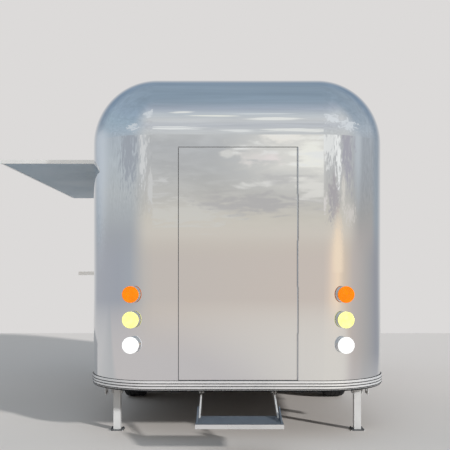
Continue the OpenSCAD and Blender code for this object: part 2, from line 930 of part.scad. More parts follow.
from_ground() counter(1);  // back_counter
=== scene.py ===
import math

import bmesh
import bpy
from mathutils import Matrix, Vector


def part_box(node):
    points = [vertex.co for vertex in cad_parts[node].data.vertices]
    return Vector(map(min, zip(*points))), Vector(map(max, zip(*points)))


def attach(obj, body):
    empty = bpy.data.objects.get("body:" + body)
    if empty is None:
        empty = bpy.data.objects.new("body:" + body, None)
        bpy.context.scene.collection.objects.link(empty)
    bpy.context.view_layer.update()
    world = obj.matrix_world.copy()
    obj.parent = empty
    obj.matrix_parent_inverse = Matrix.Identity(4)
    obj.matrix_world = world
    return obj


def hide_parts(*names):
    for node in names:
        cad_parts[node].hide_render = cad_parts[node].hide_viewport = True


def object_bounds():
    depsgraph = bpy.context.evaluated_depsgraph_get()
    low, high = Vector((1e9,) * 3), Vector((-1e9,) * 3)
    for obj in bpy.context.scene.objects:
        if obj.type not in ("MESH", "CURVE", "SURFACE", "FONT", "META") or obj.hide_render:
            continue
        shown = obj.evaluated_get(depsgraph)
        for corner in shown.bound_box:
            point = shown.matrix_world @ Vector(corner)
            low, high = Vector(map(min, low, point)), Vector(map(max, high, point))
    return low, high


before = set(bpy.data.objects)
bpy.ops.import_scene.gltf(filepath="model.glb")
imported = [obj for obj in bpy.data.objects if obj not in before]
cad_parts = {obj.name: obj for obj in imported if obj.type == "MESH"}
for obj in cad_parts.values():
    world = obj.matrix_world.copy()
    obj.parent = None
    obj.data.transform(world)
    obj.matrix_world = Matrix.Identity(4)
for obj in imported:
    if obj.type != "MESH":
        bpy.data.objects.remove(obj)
cadLow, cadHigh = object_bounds()
print("frame loaded:", len(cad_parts), "nodes")

# Places that several pieces use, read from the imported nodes
groundZ = cadLow.z
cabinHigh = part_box("front_wall")[1]
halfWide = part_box("right_wall")[1].x
rearY, frontY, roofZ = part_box("corner_rear_left")[0].y, cabinHigh.y, cabinHigh.z
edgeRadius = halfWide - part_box("rear_wall")[1].x
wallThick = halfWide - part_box("floor_panel")[1].x
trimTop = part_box("sill_trim")[1].z
sideX = Vector((1, 0, 0))
sideY = Vector((0, 1, 0))
sideZ = Vector((0, 0, 1))


def linear(hexText):
    # sRGB hex to the linear colour that shader sockets take
    parts = [int(hexText[i:i + 2], 16) / 255 for i in (0, 2, 4)]
    parts = [p / 12.92 if p <= 0.04045 else ((p + 0.055) / 1.055) ** 2.4 for p in parts]
    return (*parts, 1.0)


def wire(tree, node, wires):
    # socket values and links of a node; a node given as a value links its first live output
    for key, value in wires.items():
        if isinstance(value, bpy.types.Node):
            value = next(socket for socket in value.outputs if socket.enabled)
        if isinstance(value, bpy.types.NodeSocket):
            tree.links.new(value, node.inputs[key])
        else:
            node.inputs[key].default_value = value


def addNode(tree, kind, wires=None, **settings):
    # one shader node with its settings, its socket values and its links
    node = tree.nodes.new("ShaderNode" + kind)
    for key, value in settings.items():
        setattr(node, key, value)
    wire(tree, node, wires or {})
    return node


def fillRamp(node, stops):
    # colour stops (place, hex) of a colour ramp
    while len(node.color_ramp.elements) < len(stops):
        node.color_ramp.elements.new(0.5)
    for element, (place, hexText) in zip(node.color_ramp.elements, stops):
        element.position = place
        element.color = linear(hexText)
    return node


def newMaterial(name):
    # a material with one shader on its output, and object-space metres for its patterns
    material = bpy.data.materials.new(name)
    material.use_nodes = True
    tree = material.node_tree
    tree.nodes.clear()
    shader = addNode(tree, "BsdfPrincipled")
    addNode(tree, "OutputMaterial", {"Surface": shader})
    place = addNode(tree, "TexCoord").outputs["Object"]
    return material, tree, shader, place


def skinDistance(tree, place):
    # how far a point lies from the core that the cabin's rounded skin is offset from
    middle = (0, (rearY + frontY) / 2, 0)
    core = (halfWide - edgeRadius, (frontY - rearY) / 2 - edgeRadius, roofZ - edgeRadius)
    offset = addNode(tree, "VectorMath", {0: place, 1: middle}, operation="SUBTRACT")
    size = addNode(tree, "VectorMath", {0: offset}, operation="ABSOLUTE")
    past = addNode(tree, "VectorMath", {0: size, 1: core}, operation="SUBTRACT")
    past = addNode(tree, "VectorMath", {0: past, 1: (0, 0, 0)}, operation="MAXIMUM")
    return addNode(tree, "VectorMath", {0: past}, operation="LENGTH")


# Mirror-polished aluminium sheet, rolled and buffed: a clear reflection with a faint roll in the sheet.
# Its inner face is a polyester lining with a smooth off-white gelcoat.
polishedSkin = {
    "colour": "e9ebee", "hazeLow": 0.012, "hazeHigh": 0.022, "hazeMm": 420, "hazeSpread": (0.35, 0.7),
    "hazeDetail": 4.0, "hazeGrit": 0.6,
    "rollMm": 900, "rollDepthMm": 0.12, "buffMm": 60, "buffDepthMm": 0.004, "buffDetail": 2.0,
    "lining": "dcdcd6", "liningRough": 0.42, "liningStart": 0.9,
    # painted shade: the grey given for the hinge stands for the dark of the door's hinge line
    "hinge": "85878a", "hingeX": 0.401, "hingeHalfMm": 2.4, "hingeProudMm": 2.0,
}


def makePolishedSkin(s):
    material, tree, shader, place = newMaterial("polishedAluminium")
    # only the inner face takes the lining
    inner = addNode(tree, "Math", {
        0: skinDistance(tree, place), 1: edgeRadius - s["liningStart"] * wallThick}, operation="LESS_THAN")
    # painted shade: the parts of the door's hinge knuckles that stand out of the skin are drawn matt mid
    # grey, as the dark of the hinge line
    axes = addNode(tree, "SeparateXYZ", {0: place})
    hinge = addNode(tree, "Math", {
        0: axes.outputs["X"], 1: s["hingeX"], 2: s["hingeHalfMm"] / 1000}, operation="COMPARE")
    proud = addNode(tree, "Math", {
        0: axes.outputs["Y"], 1: rearY - s["hingeProudMm"] / 1000}, operation="LESS_THAN")
    hinge = addNode(tree, "Math", {0: hinge, 1: proud}, operation="MULTIPLY")
    # the lining and the painted hinge shade are both matt
    liningAndHingeShade = addNode(tree, "Math", {0: inner, 1: hinge}, operation="MAXIMUM")
    outer = addNode(tree, "Math", {0: 1.0, 1: liningAndHingeShade}, operation="SUBTRACT")
    haze = addNode(tree, "TexNoise", {
        "Vector": place, "Scale": 1000 / s["hazeMm"], "Detail": s["hazeDetail"], "Roughness": s["hazeGrit"]})
    rough = addNode(tree, "MapRange", {
        "Value": haze, "From Min": s["hazeSpread"][0], "From Max": s["hazeSpread"][1],
        "To Min": s["hazeLow"], "To Max": s["hazeHigh"]})
    rough = addNode(tree, "Mix", {0: liningAndHingeShade, 2: rough, 3: s["liningRough"]})
    colour = addNode(tree, "Mix", {
        0: inner, 6: linear(s["colour"]), 7: linear(s["lining"])}, data_type="RGBA")
    colour = addNode(tree, "Mix", {0: hinge, 6: colour, 7: linear(s["hinge"])}, data_type="RGBA")
    roll = addNode(tree, "TexNoise", {"Vector": place, "Scale": 1000 / s["rollMm"], "Detail": 0.0})
    buff = addNode(tree, "TexNoise", {
        "Vector": place, "Scale": 1000 / s["buffMm"], "Detail": s["buffDetail"]})
    rollBump = addNode(tree, "Bump", {"Height": roll, "Distance": s["rollDepthMm"] / 1000, "Strength": 1.0})
    buffBump = addNode(tree, "Bump", {
        "Height": buff, "Distance": s["buffDepthMm"] / 1000, "Strength": 1.0, "Normal": rollBump})
    wire(tree, shader, {"Base Color": colour, "Metallic": outer, "Roughness": rough, "Normal": buffBump})
    return material


# Materials that share one recipe: a colour that varies in soft patches, a roughness that varies with it,
# and a grain pressed into the surface. Sizes are in millimetres. Grain that is finer than 3 mm on the real
# thing is drawn at 3 mm, so that it shows. Only what shines as metal has a metallic value.
finishes = {
    # satin-anodised aluminium extrusion: soft sheen, faint die lines along its run
    "anodisedExtrusion": {"colours": ("eceded", "f4f5f5"), "patchMm": 160, "metallic": 0.7,
                          "rough": (0.22, 0.32), "grainMm": (3, 400, 3), "grainDepthMm": 0.01},
    # the same extrusion as the step's nosing, drawn darker as painted shade, with a dark gritted strip bonded
    # on its top
    "shadedStripedExtrusion": {"colours": ("d6d8d9", "dee0e1"), "patchMm": 160, "metallic": 0.7,
                         "rough": (0.22, 0.32), "grainMm": (400, 3, 3), "grainDepthMm": 0.01,
                         "topColour": "4a5058", "topRough": 0.7, "topFrom": 0.8},
    # the same extrusion at the sill, with painted shade drawn dark along the bottoms of its grooves
    "groovedExtrusion": {"colours": ("e2e3e5", "ecedee"), "patchMm": 160, "metallic": 0.6,
                         "rough": (0.22, 0.32), "grainMm": (200, 200, 3), "grainDepthMm": 0.01,
                         "grooveShadeColour": "15171b", "grooveShadeToMm": 7.5},
    # coil-coated aluminium composite, rolled: even blue-grey with a weak orange peel
    "coilCoatedPanel": {"colours": ("a3bbcd", "aac2d3"), "patchMm": 500,
                        "rough": (0.34, 0.44), "grainMm": (6, 6, 6), "grainDepthMm": 0.02},
    # dipped chassis lacquer on rolled sections: dark grey with a dull gloss and a slightly runny skin
    "chassisLacquer": {"colours": ("26282b", "34373a"), "patchMm": 140,
                       "rough": (0.42, 0.6), "grainMm": (9, 9, 9), "grainDepthMm": 0.06},
    # stove-enamelled square tube: pale grey, nearly even
    "paleEnamel": {"colours": ("c7c7c6", "cfcfce"), "patchMm": 60,
                   "rough": (0.34, 0.46), "grainMm": (4, 4, 4), "grainDepthMm": 0.02},
    # zinc-plated steel fasteners: bright grey metal with a soft, slightly cloudy shine
    "zincPlatedSteel": {"colours": ("b4b6b8", "c8cacb"), "patchMm": 20, "metallic": 1.0,
                        "rough": (0.25, 0.4), "grainMm": (5, 5, 5), "grainDepthMm": 0.01},
    # cast iron foot plates under worn lacquer: dull dark grey with a sandy skin
    "castIron": {"colours": ("3a3c3f", "4a4d50"), "patchMm": 25,
                 "rough": (0.5, 0.7), "grainMm": (3, 3, 3), "grainDepthMm": 0.15},
    # silver-lacquered pressed steel wheel: an even metallic sheen, neither bright nor dull
    "silverLacquer": {"colours": ("b3b5b8", "c2c4c6"), "patchMm": 50, "metallic": 0.8,
                      "rough": (0.3, 0.42), "grainMm": (3, 3, 3), "grainDepthMm": 0.02},
    # vulcanised tyre rubber: near black, dusted grey, matt
    "vulcanisedRubber": {"colours": ("17181a", "25262a"), "patchMm": 45,
                         "rough": (0.62, 0.8), "grainMm": (3, 3, 3), "grainDepthMm": 0.1},
    # grey sealing strip and joint sealant: dull mid grey
    "greySealant": {"colours": ("85878a", "909295"), "patchMm": 30,
                    "rough": (0.5, 0.65), "grainMm": (4, 4, 4), "grainDepthMm": 0.05},
    # extruded sealing rubber: black with a soft sheen
    "sealRubber": {"colours": ("101112", "1a1b1c"), "patchMm": 30,
                   "rough": (0.5, 0.65), "grainMm": (4, 4, 4), "grainDepthMm": 0.05},
    # chrome-plated lamp shells: bright, with a faint haze
    "chromePlate": {"colours": ("d2d4d6", "dddfe0"), "patchMm": 40, "metallic": 1.0,
                    "rough": (0.1, 0.18), "grainMm": (20, 20, 20), "grainDepthMm": 0.01},
    # moulded black ABS: fine leather-like mould grain
    "mouldedAbs": {"colours": ("1b1d20", "26282b"), "patchMm": 40,
                   "rough": (0.4, 0.55), "grainMm": (3, 3, 3), "grainDepthMm": 0.06},
    # rotation-moulded polyethylene wheel boxes: dull black with a slight orange peel
    "mouldedPolyethylene": {"colours": ("1c1e20", "2a2c2f"), "patchMm": 120,
                            "rough": (0.5, 0.68), "grainMm": (8, 8, 8), "grainDepthMm": 0.15},
    # birch plywood with a brown phenolic film, pressed with a wire mesh against slipping
    "filmFacedPlywood": {"colours": ("4a3f38", "5a4d45"), "patchMm": 220,
                         "rough": (0.42, 0.6), "grainMm": (10, 10, 10), "grainDepthMm": 0.3},
    # brushed stainless worktop: long fine scratches along the counter
    "brushedStainless": {"colours": ("b9bbbd", "c9cbcc"), "patchMm": 200, "metallic": 1.0,
                         "rough": (0.26, 0.38), "grainMm": (3, 260, 3), "grainDepthMm": 0.02},
    # powder-coated step tread: dark blue-grey, fine texture
    "powderCoat": {"colours": ("525a64", "5e6770"), "patchMm": 70,
                   "rough": (0.5, 0.66), "grainMm": (3, 3, 3), "grainDepthMm": 0.12},
}
patchSpread = (0.3, 0.7)  # where most values of a patch's noise lie
grainDetail = 3.0


def makeFinish(name, s):
    material, tree, shader, place = newMaterial(name)
    field = addNode(tree, "TexNoise", {"Vector": place, "Scale": 1000 / s["patchMm"]})
    tone = fillRamp(addNode(tree, "ValToRGB", {"Fac": field}), list(zip(patchSpread, s["colours"])))
    rough = addNode(tree, "MapRange", {
        "Value": field, "From Min": patchSpread[0], "From Max": patchSpread[1],
        "To Min": s["rough"][0], "To Max": s["rough"][1]})
    metallic = s.get("metallic", 0.0)
    if "grooveShadeColour" in s:
        # painted shade: the grooves, which lie nearer the skin than the lands, are drawn near black
        deep = addNode(tree, "Math", {
            0: skinDistance(tree, place), 1: edgeRadius + s["grooveShadeToMm"] / 1000}, operation="LESS_THAN")
        tone = addNode(tree, "Mix", {0: deep, 6: tone, 7: linear(s["grooveShadeColour"])}, data_type="RGBA")
    if "topColour" in s:
        lean = addNode(tree, "SeparateXYZ", {0: addNode(tree, "TexCoord").outputs["Normal"]})
        top = addNode(tree, "Math", {0: lean.outputs["Z"], 1: s["topFrom"]}, operation="GREATER_THAN")
        tone = addNode(tree, "Mix", {0: top, 6: tone, 7: linear(s["topColour"])}, data_type="RGBA")
        rough = addNode(tree, "Mix", {0: top, 2: rough, 3: s["topRough"]})
        metallic = addNode(tree, "MapRange", {"Value": top, "To Min": metallic, "To Max": 0.0})
    stretch = addNode(tree, "VectorMath", {
        0: place, 1: [1000 / mm for mm in s["grainMm"]]}, operation="MULTIPLY")
    grain = addNode(tree, "TexNoise", {"Vector": stretch, "Scale": 1.0, "Detail": grainDetail})
    bump = addNode(tree, "Bump", {"Height": grain, "Distance": s["grainDepthMm"] / 1000, "Strength": 1.0})
    wire(tree, shader, {"Base Color": tone, "Roughness": rough, "Metallic": metallic, "Normal": bump})
    return material


# Injection-moulded acrylic lamp lenses: clear bright colour, smooth and glossy, ribbed in rings
lensTones = {
    "orangeAcrylic": {"colours": ("f07600", "fc8200"), "glow": 0.14},
    "yellowAcrylic": {"colours": ("f6f38c", "fdfda2"), "glow": 0.14},
    "whiteAcrylic": {"colours": ("f1f3f4", "fbfcfc"), "glow": 0.16},
}
lensGloss = {"patchMm": 30, "rough": 0.28, "ior": 1.49, "sheen": 0.25}


def makeLens(name, s, gloss):
    material, tree, shader, place = newMaterial(name)
    patch = addNode(tree, "TexNoise", {"Vector": place, "Scale": 1000 / gloss["patchMm"]})
    tone = fillRamp(addNode(tree, "ValToRGB", {"Fac": patch}), list(zip(patchSpread, s["colours"])))
    wire(tree, shader, {
        "Base Color": tone, "Roughness": gloss["rough"], "IOR": gloss["ior"],
        "Specular IOR Level": gloss["sheen"],
        "Emission Color": linear(s["colours"][1]), "Emission Strength": s["glow"]})
    return material


materials = {name: makeFinish(name, s) for name, s in finishes.items()}
materials["polishedAluminium"] = makePolishedSkin(polishedSkin)
for lensName, lensTone in lensTones.items():
    materials[lensName] = makeLens(lensName, lensTone, lensGloss)
print("materials made:", len(materials))

nodeFinish = {
    "polishedAluminium": [
        "rear_wall", "front_wall", "left_wall", "right_wall", "roof_panel", "rear_door",
        "corner_rear_left", "corner_rear_right", "corner_front_left", "corner_front_right"],
    "shadedStripedExtrusion": ["step_nosing"],
    "groovedExtrusion": ["sill_trim"],
    "coilCoatedPanel": ["serving_hatch"],
    "chassisLacquer": [
        "left_rail", "right_rail", "cross_members", "drawbar_left", "drawbar_right", "coupler",
        "jack_tube", "axle", "step_guides"],
    "paleEnamel": [
        "leg_brackets", "leg_rear_left", "leg_rear_right", "leg_front_left", "leg_front_right",
        "lashing_plates", "step_arms"],
    "zincPlatedSteel": ["hinge_pins", "jack_leg"],
    "silverLacquer": ["left_rim", "right_rim"],
    "vulcanisedRubber": ["left_tyre", "right_tyre"],
    "chromePlate": ["lamp_housings"],
    "mouldedPolyethylene": ["wheel_housing_left", "wheel_housing_right"],
    "filmFacedPlywood": ["floor_panel"],
    "brushedStainless": ["serving_counter", "back_counter", "serving_shelf"],
    "powderCoat": ["step"],
    "orangeAcrylic": ["orange_lenses"],
    "yellowAcrylic": ["yellow_lenses"],
    "whiteAcrylic": ["white_lenses"],
}
for finishName, nodeNames in nodeFinish.items():
    for nodeName in nodeNames:
        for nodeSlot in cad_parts[nodeName].material_slots:
            nodeSlot.material = materials[finishName]
print("finishes set on", sum(len(names) for names in nodeFinish.values()), "nodes")

sharpDegrees = 32  # edges that turn by more than this stay crisp


def newPiece(name, bm, finish, body, replaced=()):
    # closes a mesh, shades it and hangs it on its body
    bmesh.ops.recalc_face_normals(bm, faces=bm.faces)
    mesh = bpy.data.meshes.new(name)
    bm.to_mesh(mesh)
    bm.free()
    mesh.shade_smooth()
    mesh.set_sharp_from_angle(angle=math.radians(sharpDegrees))
    mesh.materials.append(materials[finish])
    piece = bpy.data.objects.new(name, mesh)
    bpy.context.scene.collection.objects.link(piece)
    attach(piece, body)
    if replaced:
        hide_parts(*replaced)
    return piece


def facing(point, way):
    # a frame at a point whose local Z looks a given way
    return Matrix.Translation(point) @ Vector(way).to_track_quat("Z", "Y").to_matrix().to_4x4()


def joinRings(bm, rings, closed, capped):
    # quads between neighbouring rings of points
    count = len(rings)
    for k in range(count if closed else count - 1):
        near, far = rings[k], rings[(k + 1) % count]
        for i in range(len(near)):
            j = (i + 1) % len(near)
            bm.faces.new((near[i], near[j], far[j], far[i]))
    if capped:
        bm.faces.new(rings[0])
        bm.faces.new(rings[-1])


def addLathe(bm, profile, steps, place):
    # a profile of (radius, height) turned about the local Z axis, capped at both ends
    rings = []
    for radius, height in profile:
        turns = [2 * math.pi * k / steps for k in range(steps)]
        rings.append([bm.verts.new(place @ Vector((radius * math.cos(t), radius * math.sin(t), height)))
                      for t in turns])
    joinRings(bm, rings, False, True)


def addSweep(bm, path, section, face, closed):
    # a section of (beside, above) carried along a flat path, mitred at its corners
    rings = []
    for k, point in enumerate(path):
        sides = []
        if closed or k > 0:
            sides.append((point - path[k - 1]).normalized().cross(face))
        if closed or k < len(path) - 1:
            sides.append((path[(k + 1) % len(path)] - point).normalized().cross(face))
        out = (sides[0] + sides[-1]) / (1 + sides[0].dot(sides[-1]))
        rings.append([bm.verts.new(point + out * u + face * v) for u, v in section])
    joinRings(bm, rings, closed, not closed)


def arcPoints(centre, radius, start, stop, steps, across, up):
    # points along an arc in the plane of two directions, angles in degrees
    turns = [math.radians(start + (stop - start) * k / steps) for k in range(steps + 1)]
    return [centre + radius * (math.cos(t) * across + math.sin(t) * up) for t in turns]


boltForm = {"washerSteps": 24, "sides": 6, "bevelFrom": 0.85, "topShare": 0.88}


def addBolt(bm, point, way, s):
    # washer and hexagon head with a bevelled top, set on a face
    place = facing(point, way)
    addLathe(bm, [(s["washer"], 0), (s["washer"], s["sheet"])], boltForm["washerSteps"], place)
    head, base = s["across"] / math.sqrt(3), s["sheet"]
    profile = [(head, base), (head, base + boltForm["bevelFrom"] * s["head"]),
               (boltForm["topShare"] * head, base + s["head"])]
    addLathe(bm, profile, boltForm["sides"], place)


# Tyres: crowned tread with three grooves round it, cut shoulder blocks, and a side wall with a shallow groove
# and a rib, given from the shoulder to the bead as (inset, radius)
tyreSet = {"shoulder": 0.035, "shoulderSteps": 6, "beadRadius": 0.1785, "beadHalf": 0.080,
           "pitches": 66, "stepsPerPitch": 5, "grooveAt": (-0.038, 0.0, 0.038), "grooveHalf": 0.004,
           "grooveFlat": 0.8, "grooveDeep": 0.007, "blockFrom": 0.046, "blockDeep": 0.005, "blockLow": 0.4,
           "wall": [(0, 0.262), (-0.001, 0.2615), (-0.001, 0.2565), (0, 0.256), (0, 0.244), (-0.0015, 0.222),
                    (-0.0045, 0.203), (-0.006, 0.1965), (-0.005, 0.192), (-0.0085, 0.187)]}


def makeTyre(side, s):
    low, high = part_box(side + "_tyre")
    centre, radius, half = (low + high) / 2, (high.z - low.z) / 2, (high.x - low.x) / 2
    crown, turn, flat = half - s["shoulder"], radius - s["shoulder"], s["grooveFlat"]
    shoulder = [(-half, turn)]
    for k in range(1, s["shoulderSteps"] + 1):
        t = math.radians(90 / s["shoulderSteps"] * k)
        shoulder.append((-crown - s["shoulder"] * math.cos(t), turn + s["shoulder"] * math.sin(t)))
    tread = []
    for middle in s["grooveAt"]:
        for edge, deep in ((-1, 0), (-flat, 1), (flat, 1), (1, 0)):
            tread.append((middle + edge * s["grooveHalf"], radius - deep * s["grooveDeep"]))
    leftWall = [(-half - inset, r) for inset, r in reversed(s["wall"])]
    rightWall = [(half + inset, r) for inset, r in s["wall"]]
    across = [(-s["beadHalf"], s["beadRadius"])] + leftWall + shoulder + tread
    across += [(-a, r) for a, r in reversed(shoulder)] + rightWall + [(s["beadHalf"], s["beadRadius"])]
    bm = bmesh.new()
    rings = []
    steps = s["pitches"] * s["stepsPerPitch"]
    for k in range(steps):
        t = 2 * math.pi * k / steps
        cut = k % s["stepsPerPitch"] == 0
        ring = []
        for along, r in across:
            if cut and abs(along) > s["blockFrom"] and r > turn + s["blockLow"] * s["shoulder"]:
                r -= s["blockDeep"]
            ring.append(bm.verts.new(centre + Vector((along, r * math.cos(t), r * math.sin(t)))))
        rings.append(ring)
    joinRings(bm, rings, True, False)
    newPiece(side + "Tyre", bm, "vulcanisedRubber", side + "_wheel", [side + "_tyre"])


for sideName in ("left", "right"):
    makeTyre(sideName, tyreSet)

# Wheel nuts, dust cap and valve on each rim's disc
wheelSet = {"nuts": 5, "firstNut": 0.25, "nutCircle": 0.084, "discOut": 0.045, "hubOut": 0.050,
            "nut": {"washer": 0.0135, "sheet": 0.003, "across": 0.019, "head": 0.014},
            "cap": [(0.034, 0.0), (0.034, 0.004), (0.031, 0.006), (0.031, 0.014), (0.028, 0.018),
                    (0.020, 0.0205), (0.004, 0.0215)], "capSteps": 48,
            "valve": [(0.006, -0.004), (0.0055, 0.008), (0.0035, 0.012), (0.0035, 0.026), (0.0025, 0.028)],
            "valveAt": 0.152, "valveSteps": 20}


def makeWheelFittings(side, sign, s):
    low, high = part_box(side + "_rim")
    centre, out = (low + high) / 2, sideX * sign
    bm = bmesh.new()
    for k in range(s["nuts"]):
        t = 2 * math.pi * (k + s["firstNut"]) / s["nuts"]
        spot = centre + s["nutCircle"] * Vector((0, math.cos(t), math.sin(t))) + out * s["discOut"]
        addBolt(bm, spot, out, s["nut"])
    addLathe(bm, s["cap"], s["capSteps"], facing(centre + out * s["hubOut"], out))
    newPiece(side + "WheelNuts", bm, "zincPlatedSteel", side + "_wheel")
    bm = bmesh.new()
    valveFoot = centre + sideZ * s["valveAt"] + out * s["discOut"]
    addLathe(bm, s["valve"], s["valveSteps"], facing(valveFoot, out))
    newPiece(side + "Valve", bm, "sealRubber", side + "_wheel")


makeWheelFittings("left", -1, wheelSet)
makeWheelFittings("right", 1, wheelSet)
print("wheels dressed")

# Rubber lip round each wheel arch, from sill trim to sill trim
archSet = {"radius": 0.375, "steps": 72,
           "lip": [(-0.0025, -0.020), (-0.0025, 0.003), (0.0, 0.0055), (0.006, 0.006), (0.012, 0.004),
                   (0.014, 0.0), (-0.0005, 0.0), (-0.0005, -0.020)]}


def makeArchLip(side, sign, s):
    low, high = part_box(side + "_tyre")
    centre = Vector((sign * halfWide, (low.y + high.y) / 2, (low.z + high.z) / 2))
    rise = math.degrees(math.asin((trimTop - centre.z) / s["radius"]))
    path = arcPoints(centre, s["radius"], rise, 180 - rise, s["steps"], sideY * sign, sideZ)
    bm = bmesh.new()
    addSweep(bm, path, s["lip"], sideX * sign, False)
    newPiece(side + "ArchLip", bm, "sealRubber", "trailer")


makeArchLip("left", -1, archSet)
makeArchLip("right", 1, archSet)

# Painted shade as dark rubber: a bead along the sill trim's upper edge, where it meets the skin, and an inlay
# with a narrow lip in each of its grooves, all broken at the wheel arches
sillShadeSet = {"tall": 0.0028, "proud": 0.005, "root": 0.001, "browOut": 0.6, "browUp": 0.8, "steps": 24,
              "grooves": 3, "pitch": 0.0185, "face": 0.008, "stem": 0.0018, "lip": 0.0028,
              "lipThick": 0.0006, "deep": 0.0045, "clear": 0.0002}


def addSillRun(bm, height, section, s):
    # one section carried round both ends of the cabin at a height
    low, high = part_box("left_tyre")
    archHalf = math.sqrt(archSet["radius"] ** 2 - (height - (low.z + high.z) / 2) ** 2)
    axleY = (low.y + high.y) / 2
    for sign, endY in ((-1, rearY), (1, frontY)):
        path = []
        turnY = endY - sign * edgeRadius
        for side in (1, -1):
            corner = Vector((side * sign * (edgeRadius - halfWide), turnY, height))
            arc = arcPoints(corner, edgeRadius, 0, 90, s["steps"], sideX * (-side * sign), sideY * sign)
            path += arc if side > 0 else arc[::-1]
        path = [Vector((path[0].x, axleY + sign * archHalf, height))] + path
        path.append(Vector((path[-1].x, axleY + sign * archHalf, height)))
        addSweep(bm, path[::-1], section, sideZ, False)


def makeSillShadeStrips(s):
    bm = bmesh.new()
    bead = [(-s["root"], 0.0), (s["proud"], 0.0),
            (s["browOut"] * s["proud"], s["browUp"] * s["tall"]), (-s["root"], s["tall"])]
    # painted shade: a dark bead where the trim's top edge meets the skin
    addSillRun(bm, trimTop, bead, s)
    newPiece("sillShadeBead", bm, "sealRubber", "trailer")
    bm = bmesh.new()
    inner = s["face"] - s["deep"]
    under = s["face"] + s["clear"]
    outer = under + s["lipThick"]
    inlay = [(inner, -s["stem"]), (under, -s["stem"]), (under, -s["lip"]), (outer, -s["lip"]),
             (outer, s["lip"]), (under, s["lip"]), (under, s["stem"]), (inner, s["stem"])]
    # painted shade: dark inlays that darken the grooves
    for k in range(1, s["grooves"] + 1):
        addSillRun(bm, trimTop - k * s["pitch"], inlay, s)
    newPiece("sillShadeInlays", bm, "sealRubber", "trailer")


makeSillShadeStrips(sillShadeSet)

# Grey seal set back in the gap round the door, and a stop frame behind the serving hatch's edge
sealSet = {"gap": 0.005, "inner": 0.0015, "outer": -0.0025, "from": 0.006, "to": 0.030,
           "stopFrom": 0.027, "stopTo": 0.036, "stopWide": 0.014, "hatchReach": 0.775}


def makeSeals(s):
    low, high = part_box("rear_door")
    left, right = low.x - s["gap"] / 2, -low.x + s["gap"] / 2
    bottom, top = low.z - s["gap"] / 2, high.z + s["gap"] / 2
    path = [Vector((x, rearY, z)) for x, z in ((left, bottom), (right, bottom), (right, top), (left, top))]
    bm = bmesh.new()
    section = [(s["inner"], s["from"]), (s["outer"], s["from"]), (s["outer"], s["to"]), (s["inner"], s["to"])]
    addSweep(bm, path, section, sideY, True)
    newPiece("doorSeal", bm, "greySealant", "trailer")
    low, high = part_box("serving_hatch")
    top = high.z - s["gap"]
    bottom, wall = top - s["hatchReach"], -halfWide
    path = [Vector((wall, y, z)) for y, z in ((low.y, bottom), (high.y, bottom), (high.y, top), (low.y, top))]
    section = [(s["gap"], s["stopFrom"]), (s["gap"], s["stopTo"]),
               (-s["stopWide"], s["stopTo"]), (-s["stopWide"], s["stopFrom"])]
    bm = bmesh.new()
    addSweep(bm, path, section, sideX, True)
    newPiece("hatchStopFrame", bm, "sealRubber", "trailer")


makeSeals(sealSet)

# Channel of bright extrusion over the three free edges of the hatch and of the shelf
edgeSet = {"sheet": 0.0012, "flange": 0.016, "clear": 0.012, "hatchThick": 0.025, "shelfThick": 0.027}


def makeEdgeChannel(name, node, body, thick, bottom, s):
    low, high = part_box(node)
    middle = bottom + thick / 2
    inner = high.x - s["clear"]
    path = [Vector((x, y, middle)) for x, y in (
        (inner, low.y), (low.x, low.y), (low.x, high.y), (inner, high.y))]
    half, sheet, flange = thick / 2, s["sheet"], s["flange"]
    section = [(flange, half), (0, half), (0, -half), (flange, -half), (flange, -half - sheet),
               (-sheet, -half - sheet), (-sheet, half + sheet), (flange, half + sheet)]
    bm = bmesh.new()
    addSweep(bm, path, section, sideZ, False)
    newPiece(name, bm, "anodisedExtrusion", body)


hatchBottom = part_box("serving_hatch")[0].z
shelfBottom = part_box("serving_shelf")[1].z - edgeSet["shelfThick"]
makeEdgeChannel("hatchEdge", "serving_hatch", "hatch", edgeSet["hatchThick"], hatchBottom, edgeSet)
makeEdgeChannel("shelfEdge", "serving_shelf", "shelf", edgeSet["shelfThick"], shelfBottom, edgeSet)
print("seals and edges made")

# Cast foot over each leg's plate, with a stud head near each corner
footSet = {"over": 0.0010, "lift": 0.0003, "tall": 0.0072, "plate": 0.0045, "chamfer": 0.003,
           "corner": 0.010, "cornerSteps": 5, "studAt": 0.039,
           "stud": {"washer": 0.0065, "sheet": 0.001, "across": 0.010, "head": 0.005}}


def squareRing(bm, centre, half, corner, steps):
    # a level square with rounded corners
    points = []
    for k, (x, y) in enumerate(((1, 1), (-1, 1), (-1, -1), (1, -1))):
        middle = centre + Vector((x * (half - corner), y * (half - corner), 0))
        points += arcPoints(middle, corner, 90 * k, 90 * k + 90, steps, sideX, sideY)
    return [bm.verts.new(p) for p in points]


def makeFoot(end, side, s):
    low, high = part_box("leg_" + end + "_" + side)
    centre = Vector(((low.x + high.x) / 2, (low.y + high.y) / 2, low.z))
    half = (high.x - low.x) / 2 + s["over"]
    bm = bmesh.new()
    rings = []
    for height, inset in ((s["lift"], 0.0), (s["plate"], 0.0), (s["tall"], s["chamfer"])):
        rings.append(squareRing(bm, centre + sideZ * height, half - inset, s["corner"], s["cornerSteps"]))
    joinRings(bm, rings, False, True)
    for x in (-1, 1):
        for y in (-1, 1):
            spot = centre + Vector((x * s["studAt"], y * s["studAt"], s["tall"]))
            addBolt(bm, spot, sideZ, s["stud"])
    newPiece(end + side.capitalize() + "Foot", bm, "castIron", end + "_" + side + "_leg")


for endName in ("rear", "front"):
    for sideName in ("left", "right"):
        makeFoot(endName, sideName, footSet)

# Bolt heads: leg pivots and nose plate
boltSet = {"pivot": {"washer": 0.0125, "sheet": 0.0015, "across": 0.019, "head": 0.005},
           "pivotOut": 0.036, "pivotZ": 0.280,
           "noseBolts": ((0.052, -0.30), (0.075, -0.395))}


